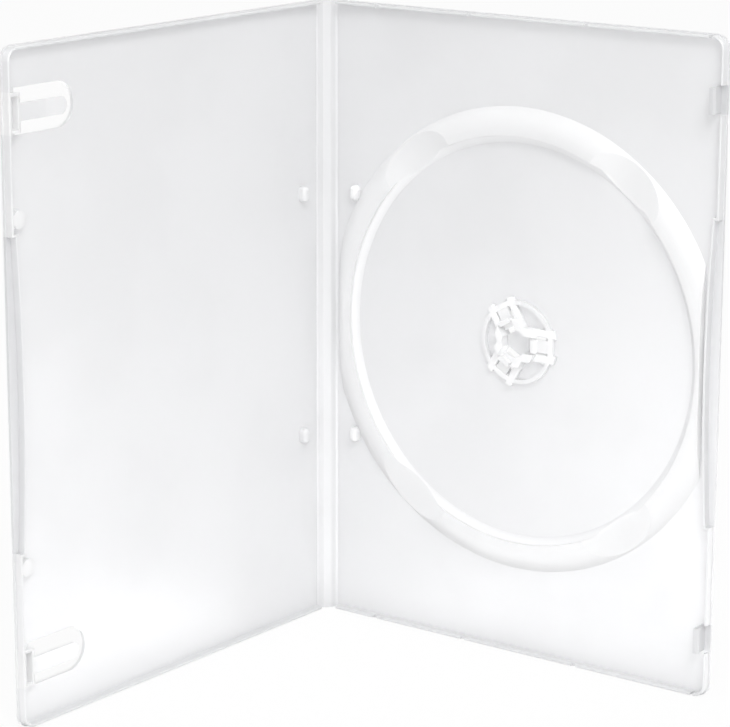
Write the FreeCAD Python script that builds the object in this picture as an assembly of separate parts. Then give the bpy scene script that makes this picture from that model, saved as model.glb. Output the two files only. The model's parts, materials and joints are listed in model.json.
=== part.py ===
"""Slim disc case: one thin moulding with two living hinges, standing half open. Millimetres.

The pieces are drawn as the case leaves its mould, open and flat on its outer faces: the spine lies in
the middle, the tray towards +X, the cover towards -X, the height of the case along +Y, the inside up.
Tray and cover are each drawn from their own hinge axis outwards, in +X. The pieces are then folded to
their resting pose, and the case is stood on its lower edges.
"""
import FreeCAD
import Part
import math
import os

V = FreeCAD.Vector

# Closed case
CASE_HEIGHT = 190.0
CASE_WIDTH = 135.0
CASE_THICKNESS = 7.0

# Panels and living hinges
PANEL = 1.0
CORNER_RADIUS = 4.0
EDGE_ROUND = 0.3
WEB_THICKNESS = 0.4
WEB_LENGTH = 1.4
BEVEL_RUN = 0.45
SPINE_BEVEL_RUN = 1.4
REST_FOLD = 45.0

# Rims round the three open sides of tray and cover
RIM_WALL = 0.8
RIM_SETBACK = 0.3
RIM_MEETING_GAP = 0.2
RIM_BEVEL = 0.25
RIM_SPINE_CLEARANCE = 0.6

# Thumb notch in the middle of each free edge
NOTCH_LENGTH = 88.0
NOTCH_END_DEPTH = 1.6
NOTCH_BOW = 1.4

# Disc, and the well that takes it
DISC_DIAMETER = 120.0
DISC_HOLE = 15.0
DISC_THICKNESS = 1.2
WELL_CLEARANCE = 0.8
WELL_NEARER_FREE_EDGE = 0.3
SHOULDER_WIDTH = 2.2
SHOULDER_HEIGHT = 1.3
RING_CREST = 2.4
RING_SLOPE = 6.2
RING_BULGE = 0.62
RING_WALL_AT_FREE_EDGE = 1.2
RING_HINGE_INSET = 3.0
SCALLOP_ANGLE = 54.0
SCALLOP_WIDTH = 26.0
SCALLOP_FLOOR_HEIGHT = 0.35

# Disc hub: three hollow cells on a seat ring, with a release tongue in each slot between them
RIB_END_RADIUS = 13.5
HUB_RING_RADIUS = 12.4
HUB_RING_WALL = 1.2
RIB_ROUND = 0.5
SEAT_HEIGHT = 1.4
CELL_WALL = 2.4
CELL_INNER_RADIUS = 4.2
BOSS_CLEARANCE = 0.2
BOSS_ABOVE_DISC = 0.6
BOSS_ROUND = 0.4
SLOT_WIDTH = 5.2
WINDOW_INNER_RADIUS = 3.4
WINDOW_FROM_ROOT = 1.0
TONGUE_COUNT = 3
TONGUE_WIDTH = 3.8
TONGUE_THICKNESS = 0.9
TONGUE_TIP_RADIUS = 4.7
TONGUE_STUB = 0.8
TONGUE_ROOT_CLEARANCE = 0.03
HOOK_THICKNESS = 1.3
HOOK_REACH = 0.25
HOOK_LIFT = 0.15
HOOK_HEAD = 0.5

# Closing pegs beside the hinges
PEG_WIDTH = 3.0
PEG_LENGTH = 4.8
PEG_ROUND = 1.2
PEG_FROM_HINGE = 8.0
PEG_SPACING = 75.0

# Latches: a hooked tab on the tray, a pocket with a catch on the cover
LATCH_FROM_END = 17.8
TAB_WIDTH = 7.4
TAB_THICKNESS = 1.2
TAB_SLIT = 0.5
TAB_CLEARANCE = 0.3
BEAD_HEIGHT = 0.7
BEAD_CLEARANCE = 0.2
POCKET_SIDE_CLEARANCE = 0.9
POCKET_BACK_CLEARANCE = 0.5
POCKET_WALL = 0.8
CATCH_REACH = 0.5
CATCH_HEIGHT = 0.8
CATCH_CLEARANCE = 0.15

# Leaflet clips of the cover, each over a window in its panel
CLIP_WINDOW_WIDTH = 12.8
CLIP_WINDOW_LENGTH = 23.0
CLIP_SLOT = 4.0
CLIP_THICKNESS = 0.9
CLIP_LIFT = 1.0

# Small details of the moulding
POST_DIAMETER = 5.0
POST_PAST_NOTCH = 4.5
POST_BELOW_RIM = 0.4
NICK_PLACES = (17.0, 50.0, 90.0)
NICK_WIDTH = 1.4
NICK_DEPTH = 0.8
CORNER_SLIT_WIDTH = 1.0
CORNER_SLIT_FROM_EDGE = 4.0

# Sizes that follow from the above
OVERLAP = PANEL / 4
TALL = 3 * CASE_THICKNESS
HINGE_DEPTH = WEB_THICKNESS / 2
WEB_HALF = WEB_LENGTH / 2
HINGE_SPAN = CASE_THICKNESS - 2 * HINGE_DEPTH
PANEL_WIDTH = CASE_WIDTH - HINGE_DEPTH
MIDDLE = CASE_HEIGHT / 2
BASE = PANEL - OVERLAP
RIM_TOP = (CASE_THICKNESS - RIM_MEETING_GAP) / 2
RIM_START = PANEL - HINGE_DEPTH + RIM_SPINE_CLEARANCE
RIM_OUTER = PANEL_WIDTH - RIM_SETBACK
RIM_INNER = RIM_OUTER - RIM_WALL
WELL_RADIUS = DISC_DIAMETER / 2 + WELL_CLEARANCE
RING_FOOT_RADIUS = WELL_RADIUS + RING_CREST + RING_SLOPE
SCALLOP_FLOOR = PANEL + SCALLOP_FLOOR_HEIGHT
HUB_FROM_HINGE = PANEL_WIDTH / 2 + WELL_NEARER_FREE_EDGE
SEAT = PANEL + SEAT_HEIGHT
DISC_TOP = SEAT + DISC_THICKNESS
BOSS_TOP = DISC_TOP + BOSS_ABOVE_DISC
BOSS_RADIUS = DISC_HOLE / 2 - BOSS_CLEARANCE
HUB_RING_INNER = HUB_RING_RADIUS - HUB_RING_WALL
TONGUE_ROOT = HUB_RING_INNER - TONGUE_STUB
TONGUE_AXIS_HEIGHT = SEAT - TONGUE_THICKNESS / 2
LATCH_PLACES = (LATCH_FROM_END, CASE_HEIGHT - LATCH_FROM_END)
TAB_TOP = CASE_THICKNESS - PANEL - TAB_CLEARANCE
TAB_OUTER = RIM_INNER - CATCH_REACH - TAB_CLEARANCE
TAB_INNER = TAB_OUTER - TAB_THICKNESS
CATCH_FOOT = CASE_THICKNESS - TAB_TOP + BEAD_HEIGHT + CATCH_CLEARANCE
POCKET_HALF = TAB_WIDTH / 2 + POCKET_SIDE_CLEARANCE
POCKET_BACK = TAB_INNER - POCKET_BACK_CLEARANCE
CLIP_ROOT = POCKET_BACK - POCKET_WALL


def block(x0, x1, y0, y1, z0, z1):
    """Box between two corners."""
    return Part.makeBox(x1 - x0, y1 - y0, z1 - z0, V(x0, y0, z0))


def prism(points, direction):
    """Straight-sided face through the points, pushed along a direction."""
    return Part.Face(Part.makePolygon(points + points[:1])).extrude(direction)


def round_edges(shape, radius, chosen):
    """Fillet the edges that the test picks."""
    return shape.makeFillet(radius, [edge for edge in shape.Edges if chosen(edge)])


def bevel_edges(shape, size, chosen):
    """Chamfer the edges that the test picks."""
    return shape.makeChamfer(size, [edge for edge in shape.Edges if chosen(edge)])


def upright_at(edge, x):
    """True for an edge that stands straight up at one place along X."""
    box = edge.BoundBox
    return abs(box.XMin - x) < 1e-4 and abs(box.XMax - x) < 1e-4 and box.YLength < 1e-4


def level_at(edge, z):
    """True for an edge that lies at one height above the outer face."""
    box = edge.BoundBox
    return abs(box.ZMin - z) < 1e-4 and abs(box.ZMax - z) < 1e-4


def joined(first, others):
    """Pieces of one moulding as one solid, with the faces that run on merged."""
    return first.fuse(others).removeSplitter().Solids[0]


def plate(bevel, far_side):
    """Plate from a hinge web to its far side, bevelled at the web so that it can fold by a right angle."""
    near_side = [V(WEB_HALF, 0, 0), V(WEB_HALF, 0, WEB_THICKNESS), V(WEB_HALF + bevel, 0, PANEL)]
    return prism(near_side + far_side, V(0, CASE_HEIGHT, 0))


def panel():
    """Plate of the tray or the cover, its two free corners and its outer edges rounded."""
    shape = plate(BEVEL_RUN, [V(PANEL_WIDTH, 0, PANEL), V(PANEL_WIDTH, 0, 0)])
    shape = round_edges(shape, CORNER_RADIUS, lambda edge: upright_at(edge, PANEL_WIDTH))
    return round_edges(shape, EDGE_ROUND,
                       lambda edge: level_at(edge, 0) and edge.BoundBox.XMax > WEB_HALF + EDGE_ROUND)


def spine():
    """Strip between the two hinges, with a broad bevel on both sides."""
    far = HINGE_SPAN - WEB_HALF
    far_side = [V(far - SPINE_BEVEL_RUN, 0, PANEL), V(far, 0, WEB_THICKNESS), V(far, 0, 0)]
    return plate(SPINE_BEVEL_RUN, far_side)


def hinge_web():
    """Living hinge at rest: a thin strip bent round the inside of its fold, smooth into both neighbours."""
    fold = math.radians(REST_FOLD)
    bend = WEB_HALF / math.tan(fold / 2)
    centre = V(WEB_HALF, 0, HINGE_DEPTH + bend)

    def at(radius, share):
        turn = share * fold
        return centre + V(-radius * math.sin(turn), 0, -radius * math.cos(turn))

    inside = bend - HINGE_DEPTH
    outside = bend + HINGE_DEPTH
    edges = [Part.Arc(at(inside, 0), at(inside, 0.5), at(inside, 1)).toShape(),
             Part.LineSegment(at(inside, 1), at(outside, 1)).toShape(),
             Part.Arc(at(outside, 1), at(outside, 0.5), at(outside, 0)).toShape(),
             Part.LineSegment(at(outside, 0), at(inside, 0)).toShape()]
    return Part.Face(Part.Wire(edges)).extrude(V(0, CASE_HEIGHT, 0))


def notch(grown):
    """Bow-shaped space of the thumb notch, grown to give the inner side of its wall."""
    half = NOTCH_LENGTH / 2
    depth = NOTCH_END_DEPTH + NOTCH_BOW
    radius = (half ** 2 + NOTCH_BOW ** 2) / (2 * NOTCH_BOW)
    bow = Part.makeCylinder(radius + grown, TALL, V(PANEL_WIDTH - depth + radius, MIDDLE, 0))
    strip = block(PANEL_WIDTH - depth - grown, PANEL_WIDTH + TALL,
                  MIDDLE - half - grown, MIDDLE + half + grown, 0, TALL)
    return bow.common(strip)


def rim_core(inset):
    """Slab with the outline of the rim, set in by an inset, with the thumb notch taken out."""
    edge = RIM_OUTER - inset
    low = RIM_SETBACK + inset
    slab = block(0, edge, low, CASE_HEIGHT - low, BASE, RIM_TOP)
    slab = round_edges(slab, CORNER_RADIUS - low, lambda side: upright_at(side, edge))
    return slab.cut(notch(inset))


def rim():
    """Low wall round the three open sides, bevelled along its top."""
    wall = rim_core(0).cut(rim_core(RIM_WALL))
    wall = wall.cut(block(-TALL, RIM_START, -TALL, CASE_HEIGHT + TALL, 0, TALL))
    return bevel_edges(wall, RIM_BEVEL, lambda edge: level_at(edge, RIM_TOP))


def pegs():
    """Oblong round-topped pegs beside the hinge, which stand tip to tip in the closed case."""
    radius = PEG_WIDTH / 2
    tall = RIM_TOP - BASE
    run = PEG_LENGTH - PEG_WIDTH
    shapes = []
    for side in (-1, 1):
        low = MIDDLE + side * PEG_SPACING / 2 - run / 2
        middle = block(PEG_FROM_HINGE - radius, PEG_FROM_HINGE + radius, low, low + run, BASE, RIM_TOP)
        ends = [Part.makeCylinder(radius, tall, V(PEG_FROM_HINGE, end, BASE)) for end in (low, low + run)]
        shapes.append(round_edges(joined(middle, ends), PEG_ROUND, lambda edge: level_at(edge, RIM_TOP)))
    return shapes


def disc_ring():
    """Raised ring round the disc well: sloped shoulder inside, bulging slope outside, dished scallops."""
    crest = WELL_RADIUS + RING_CREST
    corners = [V(RING_FOOT_RADIUS, 0, BASE), V(WELL_RADIUS - SHOULDER_WIDTH, 0, BASE),
               V(WELL_RADIUS - SHOULDER_WIDTH, 0, PANEL), V(WELL_RADIUS, 0, PANEL + SHOULDER_HEIGHT),
               V(WELL_RADIUS, 0, RIM_TOP), V(crest, 0, RIM_TOP)]
    bulge = V(crest + RING_BULGE * RING_SLOPE, 0, BASE + RING_BULGE * (RIM_TOP - BASE))
    edges = [Part.LineSegment(a, b).toShape() for a, b in zip(corners, corners[1:])]
    edges.append(Part.Arc(corners[-1], bulge, corners[0]).toShape())
    ring = Part.Face(Part.Wire(edges)).revolve(V(0, 0, 0), V(0, 0, 1), 360)
    depth = RIM_TOP - SCALLOP_FLOOR
    radius = ((SCALLOP_WIDTH / 2) ** 2 + depth ** 2) / (2 * depth)
    for quarter in (SCALLOP_ANGLE, 180 - SCALLOP_ANGLE, 180 + SCALLOP_ANGLE, 360 - SCALLOP_ANGLE):
        turn = math.radians(quarter)
        outwards = V(math.cos(turn), math.sin(turn), 0)
        start = V(0, 0, SCALLOP_FLOOR + radius)
        ring = ring.cut(Part.makeCylinder(radius, 2 * RING_FOOT_RADIUS, start, outwards))
    ring.translate(V(HUB_FROM_HINGE, MIDDLE, 0))
    free_side = HUB_FROM_HINGE + WELL_RADIUS + RING_WALL_AT_FREE_EDGE
    return ring.common(block(RING_HINGE_INSET, free_side, 0, CASE_HEIGHT, 0, TALL))


def turned(shape, number):
    """Copy of a piece of the hub, turned from the first tongue to another."""
    copy = shape.copy()
    copy.rotate(V(0, 0, 0), V(0, 0, 1), number * 360 / TONGUE_COUNT)
    return copy


def on_hub(shape):
    """Move a shape from the hub axis to the place of the hub on the tray."""
    shape.translate(V(HUB_FROM_HINGE, MIDDLE, 0))
    return shape


def slots(width, inner, outer, z0, z1):
    """One radial slot for each tongue of the hub."""
    slot = block(inner, outer, -width / 2, width / 2, z0, z1)
    return [turned(slot, number) for number in range(TONGUE_COUNT)]


def tongue_barrel(width, radius):
    """Round root of the first tongue, about the line that it bends on."""
    return Part.makeCylinder(radius, width, V(TONGUE_ROOT, -width / 2, TONGUE_AXIS_HEIGHT), V(0, 1, 0))


def hub():
    """Seat ring, the ribs that carry and centre the disc, and the stubs that the tongues bend from."""
    seat_ring = Part.makeCylinder(HUB_RING_RADIUS, SEAT - BASE, V(0, 0, BASE))
    seat_ring = seat_ring.cut(Part.makeCylinder(HUB_RING_INNER, TALL))
    boss = Part.makeCylinder(BOSS_RADIUS, BOSS_TOP - BASE, V(0, 0, BASE))
    boss = round_edges(boss, BOSS_ROUND, lambda edge: level_at(edge, BOSS_TOP))
    ribs = Part.makeCylinder(RIB_END_RADIUS, SEAT - BASE, V(0, 0, BASE)).fuse(boss)
    bars = slots(SLOT_WIDTH + 2 * CELL_WALL, 0, RIB_END_RADIUS, 0, TALL)
    ribs = ribs.common(bars[0].fuse(bars[1:]))
    ribs = ribs.cut(slots(SLOT_WIDTH, 0, TONGUE_ROOT, 0, TALL))
    ribs = ribs.cut(slots(SLOT_WIDTH, HUB_RING_RADIUS, TALL, 0, TALL))
    ribs = ribs.cut(Part.makeCylinder(CELL_INNER_RADIUS, TALL)).removeSplitter()
    ribs = round_edges(ribs, RIB_ROUND,
                       lambda edge: level_at(edge, SEAT) and isinstance(edge.Curve, Part.Line))
    socket = tongue_barrel(SLOT_WIDTH, TONGUE_THICKNESS / 2 + TONGUE_ROOT_CLEARANCE)
    hub_shape = joined(seat_ring, [ribs])
    hub_shape = hub_shape.cut([turned(socket, number) for number in range(TONGUE_COUNT)])
    return on_hub(hub_shape)


def hub_windows():
    """Openings in the floor that the tongues are pressed into."""
    cuts = slots(SLOT_WIDTH, WINDOW_INNER_RADIUS, TONGUE_ROOT - WINDOW_FROM_ROOT, -PANEL, PANEL)
    return [on_hub(cut) for cut in cuts]


def hub_tongue(number):
    """Release tongue: bends at its root, hooks over the edge of the disc, and is pressed at its tip."""
    under = SEAT - TONGUE_THICKNESS
    neck = DISC_TOP + HOOK_LIFT
    hook_inner = BOSS_RADIUS - HOOK_THICKNESS
    side = [(TONGUE_ROOT, under), (TONGUE_TIP_RADIUS, under), (TONGUE_TIP_RADIUS, SEAT), (hook_inner, SEAT),
            (hook_inner, neck + HOOK_HEAD), (BOSS_RADIUS, neck + HOOK_HEAD),
            (DISC_HOLE / 2 + HOOK_REACH, neck), (BOSS_RADIUS, neck), (BOSS_RADIUS, SEAT), (TONGUE_ROOT, SEAT)]
    blade = prism([V(x, -TONGUE_WIDTH / 2, z) for x, z in side], V(0, TONGUE_WIDTH, 0))
    blade = joined(blade, [tongue_barrel(TONGUE_WIDTH, TONGUE_THICKNESS / 2)])
    return on_hub(turned(blade, number))


def latch_tab(place):
    """Springy tab of the tray with a bead along its tip, which snaps behind the catch of the cover."""
    bead = TAB_TOP - BEAD_HEIGHT
    side = [(TAB_INNER, BASE), (TAB_OUTER, BASE), (TAB_OUTER, bead), (RIM_INNER - BEAD_CLEARANCE, bead),
            (TAB_OUTER, TAB_TOP), (TAB_INNER, TAB_TOP)]
    return prism([V(x, place - TAB_WIDTH / 2, z) for x, z in side], V(0, TAB_WIDTH, 0))


def latch_gap(place):
    """Gap in the rim of the tray, in front of a latch tab."""
    half = TAB_WIDTH / 2 + TAB_SLIT
    return block(TAB_OUTER, PANEL_WIDTH, place - half, place + half, PANEL, TALL)


def latch_pocket(place):
    """Walls of the cover round a latch tab, with the catch on the inside of the rim."""
    half = POCKET_HALF + POCKET_WALL
    walls = block(CLIP_ROOT, RIM_INNER + OVERLAP, place - half, place + half, BASE, RIM_TOP)
    walls = walls.cut(block(POCKET_BACK, RIM_OUTER, place - POCKET_HALF, place + POCKET_HALF, 0, TALL))
    catch = block(RIM_INNER - CATCH_REACH, RIM_INNER + OVERLAP, place - POCKET_HALF, place + POCKET_HALF,
                  CATCH_FOOT, CATCH_FOOT + CATCH_HEIGHT)
    return [walls, catch]


def tongue_outline(root, length, width, place, z0, z1):
    """Flat bar from its root towards the hinge, with a half-round end."""
    centre = root - length + width / 2
    bar = block(centre, root, place - width / 2, place + width / 2, z0, z1)
    return bar.fuse(Part.makeCylinder(width / 2, z1 - z0, V(centre, place, z0)))


def clip(place):
    """Leaflet clip, carried by the back of a latch pocket, over its window."""
    foot = PANEL + CLIP_LIFT
    width = CLIP_WINDOW_WIDTH - 2 * CLIP_SLOT
    length = CLIP_WINDOW_LENGTH - CLIP_SLOT
    return tongue_outline(CLIP_ROOT + POCKET_WALL / 2, length, width, place, foot, foot + CLIP_THICKNESS)


def clip_window(place):
    """Opening in the panel of the cover under a leaflet clip."""
    return tongue_outline(CLIP_ROOT, CLIP_WINDOW_LENGTH, CLIP_WINDOW_WIDTH, place, -PANEL, PANEL)


def notch_posts():
    """Round posts of the cover, against the inside of its rim beside the ends of the thumb notch."""
    radius = POST_DIAMETER / 2
    out = NOTCH_LENGTH / 2 + POST_PAST_NOTCH
    tall = RIM_TOP - POST_BELOW_RIM - BASE
    return [Part.makeCylinder(radius, tall, V(RIM_INNER - radius + OVERLAP, MIDDLE + side * out, BASE))
            for side in (-1, 1)]


def tray_rim_cuts():
    """Nicks and corner slits in the upper and lower rims of the tray."""
    depth = RIM_SETBACK + RIM_WALL + OVERLAP
    slit = PANEL_WIDTH - CORNER_SLIT_FROM_EDGE
    cuts = []
    for low, high in ((0, depth), (CASE_HEIGHT - depth, CASE_HEIGHT)):
        for place in NICK_PLACES:
            cuts.append(block(place - NICK_WIDTH / 2, place + NICK_WIDTH / 2, low, high,
                              RIM_TOP - NICK_DEPTH, TALL))
        cuts.append(block(slit - CORNER_SLIT_WIDTH, slit, low, high, PANEL, TALL))
    return cuts


def back_tray():
    """Half of the case that holds the disc."""
    wall = rim().cut(tray_rim_cuts() + [latch_gap(place) for place in LATCH_PLACES])
    tabs = [latch_tab(place) for place in LATCH_PLACES]
    return joined(panel().cut(hub_windows()), [wall, disc_ring(), hub()] + pegs() + tabs)


def front_cover():
    """Half of the case that swings, drawn to the right and then mirrored to its own side."""
    plain = panel().cut([clip_window(place) for place in LATCH_PLACES])
    extras = [clip(place) for place in LATCH_PLACES]
    for place in LATCH_PLACES:
        extras += latch_pocket(place)
    return joined(plain, [rim()] + extras + pegs() + notch_posts()).mirror(V(0, 0, 0), V(1, 0, 0))


def fold_about(x):
    """Turn that closes a hinge, from flat to the resting fold, about its axis at one place along X."""
    return FreeCAD.Placement(V(0, 0, 0), FreeCAD.Rotation(V(0, 1, 0), REST_FOLD), V(x, 0, HINGE_DEPTH))


def folded_pieces():
    """Every piece, folded to rest, with the tray still flat on its outer face."""
    flat = FreeCAD.Placement()
    spine_fold = fold_about(HINGE_SPAN / 2)
    cover_fold = spine_fold.multiply(fold_about(-HINGE_SPAN / 2))
    drawn = {
        "back_tray": (back_tray(), HINGE_SPAN / 2, flat),
        "back_hinge_web": (hinge_web(), HINGE_SPAN / 2, flat),
        "spine": (spine(), -HINGE_SPAN / 2, spine_fold),
        "front_hinge_web": (hinge_web(), -HINGE_SPAN / 2, spine_fold),
        "front_cover": (front_cover(), -HINGE_SPAN / 2, cover_fold),
    }
    for number in range(TONGUE_COUNT):
        drawn[f"hub_tongue_{number + 1}"] = (hub_tongue(number), HINGE_SPAN / 2, flat)
    pieces = {}
    for name, (shape, hinge, fold) in drawn.items():
        shape.translate(V(hinge, 0, 0))
        shape.Placement = fold.multiply(shape.Placement)
        pieces[name] = shape
    return pieces


def stood(pieces):
    """Stand the case on its lower edges, with the middle of its footprint at the origin."""
    upright = FreeCAD.Placement(V(0, 0, 0), FreeCAD.Rotation(V(1, 0, 0), 90))
    for shape in pieces.values():
        shape.Placement = upright.multiply(shape.Placement)
    box = Part.makeCompound(list(pieces.values())).optimalBoundingBox(False, False)
    for shape in pieces.values():
        shape.translate(V(-box.Center.x, -box.Center.y, -box.ZMin))
    return pieces


os.makedirs("parts", exist_ok=True)
for name, shape in stood(folded_pieces()).items():
    shape.exportStep(f"parts/{name}.step")
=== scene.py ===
"""Slim disc case of clear frosted plastic, standing half open on a white table."""
import json
import math

import bpy
from mathutils import Matrix, Vector


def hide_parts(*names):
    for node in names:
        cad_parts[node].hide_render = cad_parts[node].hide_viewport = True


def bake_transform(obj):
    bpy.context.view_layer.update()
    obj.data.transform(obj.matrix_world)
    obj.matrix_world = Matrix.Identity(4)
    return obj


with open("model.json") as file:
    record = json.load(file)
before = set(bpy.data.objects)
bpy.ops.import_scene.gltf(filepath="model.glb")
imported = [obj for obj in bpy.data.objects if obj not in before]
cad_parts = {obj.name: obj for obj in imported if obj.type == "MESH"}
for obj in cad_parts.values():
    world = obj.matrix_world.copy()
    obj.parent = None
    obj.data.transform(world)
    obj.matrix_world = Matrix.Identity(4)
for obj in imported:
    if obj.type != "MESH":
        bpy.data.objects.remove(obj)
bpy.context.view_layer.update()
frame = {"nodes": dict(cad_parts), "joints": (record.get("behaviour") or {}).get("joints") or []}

# The photograph's camera: lengths in pixels, sensor in millimetres, place in metres, angles in degrees
PHOTO_WIDTH = 730
FOCAL_PIXELS = 2920.0
SENSOR = 36.0
CAMERA_PLACE = (0.4681, -0.6198, 0.2905)
CAMERA_TURN = 37.16
CAMERA_PITCH = 13.69
CAMERA_ROLL = 0.122

# Living hinges: thin strips over the whole height, in metres, bent by an eighth of a turn at rest
CASE_HEIGHT = 0.190
WEB_THICKNESS = 0.0004
WEB_LENGTH = 0.0014
REST_FOLD = math.radians(45.0)
WEB_BEND = WEB_LENGTH / 2 / math.tan(REST_FOLD / 2)
WEB_STEPS = 10
WEB_LEVELS = 24

# Outer faces of tray and cover, their free edges, and where their free sides begin
TRAY_OUTER_Y = 0.0698335
COVER_OUTER_X = -0.0698335
FREE_EDGE = 0.0698333
FREE_SIDE = 0.055
MIDDLE = CASE_HEIGHT / 2

# The disc hub, with ribs that point three ways, and the disc ring, as radii from the hub's axis
HUB_X = 0.0027333
HUB_INSIDE = 0.0108
HUB_OUTSIDE = 0.0128
RIB_SIDE = 0.0052
THIRD_TURN = math.radians(120.0)
SHOULDER_INSIDE = 0.055
WELL_RADIUS = 0.0607
RING_OUTSIDE = 0.0698
RING_FREE_FACE = 0.0646
RING_FOOT_DEPTH = 0.00122

# Thumb notches, end rims, latches, and the cover's posts by its notch
NOTCH_HALF = 0.044
NOTCH_DEPTH = 0.003
NOTCH_BOW = 0.0014
NOTCH_WALL = 0.0008
END_RIM = 0.0013
LATCH_OFF_MIDDLE = 0.0772
TAB_HALF = 0.0039
TAB_BACK = 0.0666
POCKET_HALF = 0.0056
POCKET_BACK = 0.0653
POST_OFF_MIDDLE = 0.0485
POST_HALF = 0.0042
POST_BACK = 0.062

# Colours and clearness of the plastic
CLEAR_COLOUR = (0.933, 0.935, 0.945, 1.0)
SPINE_COLOUR = (0.9, 0.902, 0.912, 1.0)
# Painted shade, on the thumb notch walls and the end rims
EDGE_SHADE_COLOUR = (0.86, 0.863, 0.875, 1.0)
# Painted deeper shade, on the cover's notch floor and the tray's latch tabs
DEEP_SHADE_COLOUR = (0.8, 0.803, 0.815, 1.0)
# Painted highlight, on raised features and on all the other moulded pieces
HIGHLIGHT_COLOUR = (0.97, 0.971, 0.976, 1.0)
PLASTIC_IOR = 1.49
CLEARNESS = 0.3
HIGHLIGHT_CLEARNESS = 0.1

# Raised features turn lighter and less clear between two depths over the outer face, each kind by its own
# share: a painted highlight where they catch light
HIGHLIGHT_FROM = 0.00105
HIGHLIGHT_FULL = 0.0018
ARC_HIGHLIGHT = 0.5
PEG_HIGHLIGHT = 0.3
SHOULDER_HIGHLIGHT = 0.65

# Share of painted edge shade in the end rims, and shares of plastic that light shines through
RIM_SHADE_SHARE = 0.5
# Plastic that light shines through, in a lighter colour, only in slots, pockets, posts and under the
# ring: real translucency, partly painted light that lifts their shade
SLOT_LIGHTENING = 0.8
RING_LIGHTENING = 0.35
POST_LIGHTENING = 0.5
GLOW_RADIUS = (0.004, 0.004, 0.004)
SOFT_END = 0.0002

# Satin skin: grain of the mould, flow of the melt, and the faint clouds where it is dense
GRAIN_SCALE = 2600.0
GRAIN_DETAIL = 2.0
GRAIN_STRENGTH = 0.12
GRAIN_DEPTH = 0.0001
FLOW_SCALE = 22.0
FLOW_DETAIL = 3.0
SKIN_ROUGHNESS = 0.32
FLOW_ROUGHNESS = 0.08
COAT_ROUGHNESS = 0.3
CLOUD_THIN = 0.4
CLOUD_DENSE = 0.65
CLOUD_SHADE = 0.97

# Sockets of a Mix node that mixes colours
MIX_SHARE = 0
MIX_FROM = 6
MIX_TO = 7
MIX_RESULT = 2

# The room, and the table: how white it looks, straight on and through the plastic
WHITE = (1.0, 1.0, 1.0, 1.0)
SEEN_WHITE = 1.0
ROOM_LIGHT = 0.63
TABLE_HALF = 6.0
PAPER_COLOUR = (0.9, 0.9, 0.9, 1.0)
SEEN_SHARE = 0.92
SEEN_THROUGH_SHARE = 0.45

# The table's brightness in mirrored rays, which falls off far from the case and close to its foot: a
# painted reflection brighter than the white table, with a painted contact shadow at the foot
TABLE_SHINE = 2.3
SHINE_NEAR = 0.25
SHINE_FAR = 0.75
SHINE_LOSS = 0.7
FOOT_SHINE = 0.3
FOOT_REACH = 0.035
FOOT_SAMPLES = 4
FOOT_HIDDEN = 0.5
FOOT_OPEN = 0.95

# Lamps: name, place, aim, width in metres and power in watts
LAMPS = (
    ("key_lamp", (1.0, -0.8, 1.4), (0, 0, 0.09), 0.7, 13.0),
    ("front_lamp", (0.46, -0.66, 0.36), (0, 0, 0.09), 0.3, 1.2),
    ("top_lamp", (0.1, -0.1, 1.2), (0.05, -0.02, 0.09), 0.5, 1.0),
)


class Wire:
    """A shader socket that takes part in Python sums, so that maths on values reads as maths."""

    def __init__(self, board, socket):
        self.board = board
        self.socket = socket

    def _math(self, operation, first, second):
        return self.board.node("ShaderNodeMath", {"operation": operation}, {0: first, 1: second})

    def __add__(self, other):
        return self._math("ADD", self, other)

    def __radd__(self, other):
        return self._math("ADD", other, self)

    def __sub__(self, other):
        return self._math("SUBTRACT", self, other)

    def __rsub__(self, other):
        return self._math("SUBTRACT", other, self)

    def __mul__(self, other):
        return self._math("MULTIPLY", self, other)

    def __rmul__(self, other):
        return self._math("MULTIPLY", other, self)

    def __abs__(self):
        return self._math("ABSOLUTE", self, 0.0)


class Board:
    """The node tree of one material or of the world, empty at first."""

    def __init__(self, owner):
        owner.use_nodes = True
        self.tree = owner.node_tree
        self.tree.nodes.clear()

    def node(self, kind, settings=None, inputs=None, output=0):
        """Add a node: its settings first, then the values or wires of its sockets. Gives one output."""
        made = self.tree.nodes.new(kind)
        for name, value in (settings or {}).items():
            setattr(made, name, value)
        for name, value in (inputs or {}).items():
            if isinstance(value, Wire):
                self.tree.links.new(value.socket, made.inputs[name])
            else:
                made.inputs[name].default_value = value
        return Wire(self, made.outputs[output]) if made.outputs else None


def rising(board, value, low, high):
    """0 below one value, 1 above another, and a smooth step between."""
    return board.node("ShaderNodeMapRange", {"interpolation_type": "SMOOTHSTEP"},
                      {"Value": value, "From Min": low, "From Max": high})


def root(board, value):
    """Square root of a value."""
    return board.node("ShaderNodeMath", {"operation": "SQRT"}, {0: value})


def beyond(board, value, limit):
    """1 where a value is over a limit, with a soft start."""
    return rising(board, value, limit - SOFT_END, limit)


def within(board, value, limit):
    """1 where a value is under a limit, with a soft end."""
    return 1.0 - rising(board, value, limit, limit + SOFT_END)


def tinted(board, colour, share, tint):
    """A colour that gives way to a tint by a share."""
    return board.node("ShaderNodeMix", {"data_type": "RGBA"},
                      {MIX_SHARE: share, MIX_FROM: colour, MIX_TO: tint}, MIX_RESULT)


def mixed(board, share, first, second):
    """A shader that gives way to another by a share."""
    return board.node("ShaderNodeMixShader", {}, {0: share, 1: first, 2: second})


def past_notch_wall(along, off_middle):
    """How far a place lies past the bowed wall of its panel's thumb notch."""
    bow = NOTCH_BOW / NOTCH_HALF ** 2
    return along - FREE_EDGE + NOTCH_DEPTH - bow * off_middle * off_middle


def edge_pair(board, along, off_middle, back, centre, half):
    """Two like places by the free edge, one above and one below the middle."""
    return beyond(board, along, back) * within(board, abs(off_middle - centre), half)


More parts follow.
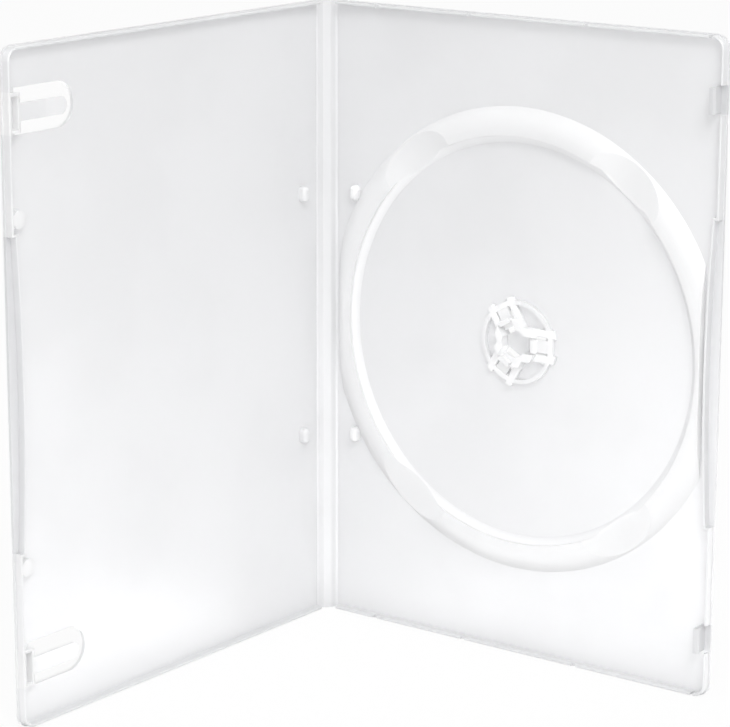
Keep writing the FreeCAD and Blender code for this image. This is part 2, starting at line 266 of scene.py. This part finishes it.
def edge_areas(board, depth, past_wall, off_middle):
    """What stands up from a panel, its thumb notch, and its end rims."""
    raised = rising(board, depth, HIGHLIGHT_FROM, HIGHLIGHT_FULL)
    notch = beyond(board, past_wall, 0.0) * within(board, off_middle, NOTCH_HALF)
    end_rims = raised * beyond(board, off_middle, MIDDLE - END_RIM)
    return raised, notch, end_rims


def hub_arcs(board, across, up, away):
    """The hub ring between its ribs."""
    way_out = board.node("ShaderNodeMath", {"operation": "MAXIMUM"},
                         {0: across, 1: math.sin(THIRD_TURN) * abs(up) + math.cos(THIRD_TURN) * across})
    off_rib = beyond(board, root(board, away * away - way_out * way_out), RIB_SIDE)
    return off_rib * beyond(board, away, HUB_INSIDE) * within(board, away, HUB_OUTSIDE)


def tray_areas(board, x, y, z):
    """Shares of painted edge shade, painted deeper shade, painted highlight, and plastic that light
    shines through to lift shade, in the tray.
    """
    depth = TRAY_OUTER_Y - y
    off_middle = abs(z - MIDDLE)
    past_wall = past_notch_wall(x, off_middle)
    raised, notch, end_rims = edge_areas(board, depth, past_wall, off_middle)
    across = x - HUB_X
    away = root(board, across * across + off_middle * off_middle)
    shoulder = beyond(board, away, SHOULDER_INSIDE)
    ring_side = beyond(board, away, WELL_RADIUS)
    past_ring = beyond(board, away, RING_OUTSIDE)
    off_ring = 1.0 - (1.0 - SHOULDER_HIGHLIGHT) * shoulder - SHOULDER_HIGHLIGHT * ring_side + past_ring
    off_arcs = 1.0 - (1.0 - ARC_HIGHLIGHT) * hub_arcs(board, across, z - MIDDLE, away)
    # Painted shade on the thumb notch and, by a share, on the end rims
    edge_shade = notch + RIM_SHADE_SHARE * end_rims
    # Painted deeper shade on the latch tabs
    tabs = edge_pair(board, x, off_middle, TAB_BACK, LATCH_OFF_MIDDLE, TAB_HALF)
    # Painted highlight on raised features, less on the hub arcs and the ring's shoulder
    highlit = raised * off_ring * within(board, x, FREE_SIDE) * off_arcs * (1.0 - end_rims)
    before_wall = within(board, past_wall, -NOTCH_WALL)
    slot = raised * beyond(board, x, RING_FREE_FACE) * before_wall * within(board, off_middle, NOTCH_HALF)
    ring = beyond(board, depth, RING_FOOT_DEPTH) * ring_side * (1.0 - past_ring) * before_wall
    # Lighter see-through plastic that lifts the shade in the slot and under the ring: partly painted
    # light
    lightened = SLOT_LIGHTENING * slot + RING_LIGHTENING * ring * (1.0 - slot)
    return edge_shade, tabs, highlit, lightened


def cover_areas(board, x, y, z):
    """Shares of painted edge shade, painted deeper shade, painted highlight, and plastic that light
    shines through to lift shade, in the cover.
    """
    along = 0.0 - y
    off_middle = abs(z - MIDDLE)
    past_wall = past_notch_wall(along, off_middle)
    raised, notch, end_rims = edge_areas(board, x - COVER_OUTER_X, past_wall, off_middle)
    # Painted shade on the thumb notch and, by a share, on the end rims
    edge_shade = notch + RIM_SHADE_SHARE * end_rims
    # Painted deeper shade on the notch floor
    notch_floor = notch * (1.0 - raised)
    # Painted highlight on the raised pegs
    highlit = PEG_HIGHLIGHT * raised * within(board, along, FREE_SIDE) * (1.0 - end_rims)
    pockets = edge_pair(board, along, off_middle, POCKET_BACK, LATCH_OFF_MIDDLE, POCKET_HALF)
    posts = raised * edge_pair(board, along, off_middle, POST_BACK, POST_OFF_MIDDLE, POST_HALF)
    # Lighter see-through plastic that lifts the shade in the latch pockets and by the posts: partly
    # painted light
    lightened = SLOT_LIGHTENING * pockets + POST_LIGHTENING * posts
    return edge_shade, notch_floor, highlit, lightened


def plastic_skin(board, place):
    """Satin skin with the fine grain of a spark-eroded mould, and the clouds of the melt's flow."""
    grain = board.node("ShaderNodeTexNoise", {},
                       {"Vector": place, "Scale": GRAIN_SCALE, "Detail": GRAIN_DETAIL})
    flow = board.node("ShaderNodeTexNoise", {},
                      {"Vector": place, "Scale": FLOW_SCALE, "Detail": FLOW_DETAIL})
    bump = board.node("ShaderNodeBump", {},
                      {"Strength": GRAIN_STRENGTH, "Distance": GRAIN_DEPTH, "Height": grain})
    skin = {"Roughness": SKIN_ROUGHNESS + FLOW_ROUGHNESS * flow, "Normal": bump}
    return skin, rising(board, flow, CLOUD_THIN, CLOUD_DENSE)


def plastic_body(board, skin, colour, clearness, glow=0.0):
    """Polypropylene of one colour and clearness, or one that light from behind makes glow."""
    return board.node("ShaderNodeBsdfPrincipled", {}, {
        "Base Color": colour,
        "IOR": PLASTIC_IOR,
        "Transmission Weight": clearness,
        "Subsurface Weight": glow,
        "Subsurface Radius": GLOW_RADIUS,
        "Subsurface Scale": 1.0,
        "Coat Weight": 1.0,
        "Coat Roughness": COAT_ROUGHNESS,
        **skin,
    })


def frosted_plastic(name, colour, clearness, areas=None):
    """Frosted polypropylene with faint clouds. areas gives its shares of painted edge shade, painted
    deeper shade, painted highlight, and light through the plastic that lifts shade.
    """
    material = bpy.data.materials.new(name)
    board = Board(material)
    place = board.node("ShaderNodeTexCoord", output="Object")
    skin, clouds = plastic_skin(board, place)
    cloud_colour = tuple(CLOUD_SHADE * part for part in colour[:3]) + (1.0,)
    colour = tinted(board, colour, clouds, cloud_colour)
    if areas:
        axes = [board.node("ShaderNodeSeparateXYZ", {}, {0: place}, axis) for axis in "XYZ"]
        edge_shade, deep_shade, highlit, lightened = areas(board, *axes)
        # Painted shade and painted deeper shade darken the colour here
        colour = tinted(board, colour, edge_shade, EDGE_SHADE_COLOUR)
        colour = tinted(board, colour, deep_shade, DEEP_SHADE_COLOUR)
    body = plastic_body(board, skin, colour, clearness)
    if areas:
        # Painted highlight body, and a lighter see-through body that lifts shade
        highlight_body = plastic_body(board, skin, HIGHLIGHT_COLOUR, HIGHLIGHT_CLEARNESS)
        lightening_body = plastic_body(board, skin, HIGHLIGHT_COLOUR, 0.0, glow=1.0)
        body = mixed(board, highlit, body, highlight_body)
        body = mixed(board, lightened, body, lightening_body)
    board.node("ShaderNodeOutputMaterial", {}, {"Surface": body})
    return material


def web_point(angle, off_centre):
    """Place on a bent web's section: along the way that it sets out in, and across to the inside."""
    radius = WEB_BEND + off_centre
    return radius * math.sin(angle), WEB_BEND - radius * math.cos(angle)


def web_faces(count):
    """Faces of a web with so many points at each level: its sides, then its foot and its top."""
    faces = []
    for level in range(WEB_LEVELS):
        low = level * count
        high = low + count
        for corner in range(count):
            beside = (corner + 1) % count
            faces.append((low + corner, low + beside, high + beside, high + corner))
    for base, flip in ((0, True), (WEB_LEVELS * count, False)):
        last = base + count - 1
        for step in range(WEB_STEPS):
            quad = (base + step, base + step + 1, last - 1 - step, last - step)
            faces.append(quad[::-1] if flip else quad)
    return faces


def hinge_web(name, start, turn, node, plastic):
    """Living hinge: a thin bent strip from one moulding edge to the next, in place of the CAD web that it
    hides.

    start is the middle of its first edge, seen from above, and turn the way that it sets out in."""
    out = Vector((math.cos(turn), math.sin(turn)))
    inward = Vector((-out.y, out.x))

    def spot(angle, off_centre, height):
        along, across = web_point(angle, off_centre)
        flat = start + out * along + inward * across
        return flat.x, flat.y, height

    angles = [REST_FOLD * step / WEB_STEPS for step in range(WEB_STEPS + 1)]
    section = [(angle, -WEB_THICKNESS / 2) for angle in angles]
    section += [(angle, WEB_THICKNESS / 2) for angle in reversed(angles)]
    points = []
    for level in range(WEB_LEVELS + 1):
        height = CASE_HEIGHT * level / WEB_LEVELS
        points += [spot(angle, off_centre, height) for angle, off_centre in section]
    mesh = bpy.data.meshes.new(name)
    mesh.from_pydata(points, [], web_faces(len(section)))
    mesh.validate()
    mesh.update()
    mesh.materials.append(plastic)
    piece = bpy.data.objects.new(name, mesh)
    bpy.context.scene.collection.objects.link(piece)
    ends = [spot(angle, 0.0, MIDDLE) for angle in (0.0, REST_FOLD)]
    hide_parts(node)
    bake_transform(piece)


def set_camera():
    """Camera at the photograph's place, turn, pitch and roll."""
    data = bpy.data.cameras.new("camera")
    data.sensor_width = SENSOR
    data.lens = FOCAL_PIXELS / PHOTO_WIDTH * SENSOR
    camera = bpy.data.objects.new("camera", data)
    turn = (Matrix.Rotation(math.radians(CAMERA_TURN), 4, "Z")
            @ Matrix.Rotation(math.radians(90 - CAMERA_PITCH), 4, "X")
            @ Matrix.Rotation(math.radians(CAMERA_ROLL), 4, "Z"))
    camera.matrix_world = Matrix.Translation(CAMERA_PLACE) @ turn
    bpy.context.scene.collection.objects.link(camera)
    bpy.context.scene.camera = camera


def ray_is(board, kind):
    """1 for rays of one kind, such as Camera or Glossy, and 0 for the others."""
    return board.node("ShaderNodeLightPath", output=f"Is {kind} Ray")


def white_room():
    """White surroundings that light the case softly."""
    world = bpy.data.worlds.new("room")
    bpy.context.scene.world = world
    board = Board(world)
    light = board.node("ShaderNodeBackground", {}, {"Color": WHITE, "Strength": ROOM_LIGHT})
    sight = board.node("ShaderNodeBackground", {}, {"Color": WHITE, "Strength": SEEN_WHITE})
    seen = ray_is(board, "Camera") + ray_is(board, "Glossy") + ray_is(board, "Transmission")
    share = board.node("ShaderNodeClamp", {}, {"Value": seen})
    board.node("ShaderNodeOutputWorld", {}, {"Surface": mixed(board, share, light, sight)})


def table_shine(board):
    """The table as mirrored rays see it: a painted reflection, bright round the case, and less so at its
    foot, where it carries a painted contact shadow.
    """
    place = board.node("ShaderNodeTexCoord", output="Object")
    away = board.node("ShaderNodeVectorMath", {"operation": "LENGTH"}, {0: place}, "Value")
    open_sky = board.node("ShaderNodeAmbientOcclusion", {"samples": FOOT_SAMPLES},
                          {"Distance": FOOT_REACH}, "AO")
    at_foot = FOOT_SHINE + (1.0 - FOOT_SHINE) * rising(board, open_sky, FOOT_HIDDEN, FOOT_OPEN)
    level = at_foot * (1.0 - SHINE_LOSS * rising(board, away, SHINE_NEAR, SHINE_FAR))
    return board.node("ShaderNodeEmission", {}, {"Color": level, "Strength": TABLE_SHINE})


def table_top():
    """White table that the case stands on, which keeps its shadow and is mirrored in its satin faces."""
    corners = [(-TABLE_HALF, -TABLE_HALF, 0), (TABLE_HALF, -TABLE_HALF, 0),
               (TABLE_HALF, TABLE_HALF, 0), (-TABLE_HALF, TABLE_HALF, 0)]
    mesh = bpy.data.meshes.new("table")
    mesh.from_pydata(corners, [], [(0, 1, 2, 3)])
    material = bpy.data.materials.new("white_table")
    board = Board(material)
    paper = board.node("ShaderNodeBsdfDiffuse", {}, {"Color": PAPER_COLOUR})
    glow = board.node("ShaderNodeEmission", {}, {"Color": WHITE, "Strength": SEEN_WHITE})
    seen = SEEN_SHARE * ray_is(board, "Camera") + SEEN_THROUGH_SHARE * ray_is(board, "Transmission")
    surface = mixed(board, seen, paper, glow)
    # Painted reflection: to mirrored rays the table shines brighter than white
    surface = mixed(board, ray_is(board, "Glossy"), surface, table_shine(board))
    board.node("ShaderNodeOutputMaterial", {}, {"Surface": surface})
    mesh.materials.append(material)
    table = bpy.data.objects.new("table", mesh)
    bpy.context.scene.collection.objects.link(table)


def soft_lamp(name, place, aim, width, power):
    """Large square lamp that points at a spot."""
    data = bpy.data.lights.new(name, "AREA")
    data.shape = "SQUARE"
    data.size = width
    data.energy = power
    lamp = bpy.data.objects.new(name, data)
    lamp.visible_camera = False
    lamp.location = place
    lamp.rotation_euler = (Vector(aim) - Vector(place)).to_track_quat("-Z", "Y").to_euler()
    bpy.context.scene.collection.objects.link(lamp)


set_camera()
bpy.context.scene.view_settings.view_transform = "Standard"
# Painted highlight: the lighter, less clear plastic of all other pieces
highlight_plastic = frosted_plastic("highlight_plastic", HIGHLIGHT_COLOUR, HIGHLIGHT_CLEARNESS)
plastics = {
    "spine": frosted_plastic("spine_plastic", SPINE_COLOUR, CLEARNESS),
    "back_tray": frosted_plastic("tray_plastic", CLEAR_COLOUR, CLEARNESS, tray_areas),
    "front_cover": frosted_plastic("cover_plastic", CLEAR_COLOUR, CLEARNESS, cover_areas),
}
for name, node in frame["nodes"].items():
    node.data.materials.clear()
    node.data.materials.append(plastics.get(name, highlight_plastic))

joint_places = {joint["name"]: Vector(joint["pos_m"][:2]) for joint in frame["joints"]}
back_out = math.radians(180.0)
front_out = back_out + REST_FOLD
for name, joint, turn, bodies in (("back_web", "back_hinge", back_out, ("tray", "spine")),
                                  ("front_web", "front_hinge", front_out, ("spine", "cover"))):
    first = joint_places[joint] - WEB_LENGTH / 2 * Vector((math.cos(turn), math.sin(turn)))
    hinge_web(name, first, turn, joint + "_web", plastics["spine"])

white_room()
table_top()
for lamp in LAMPS:
    soft_lamp(*lamp)
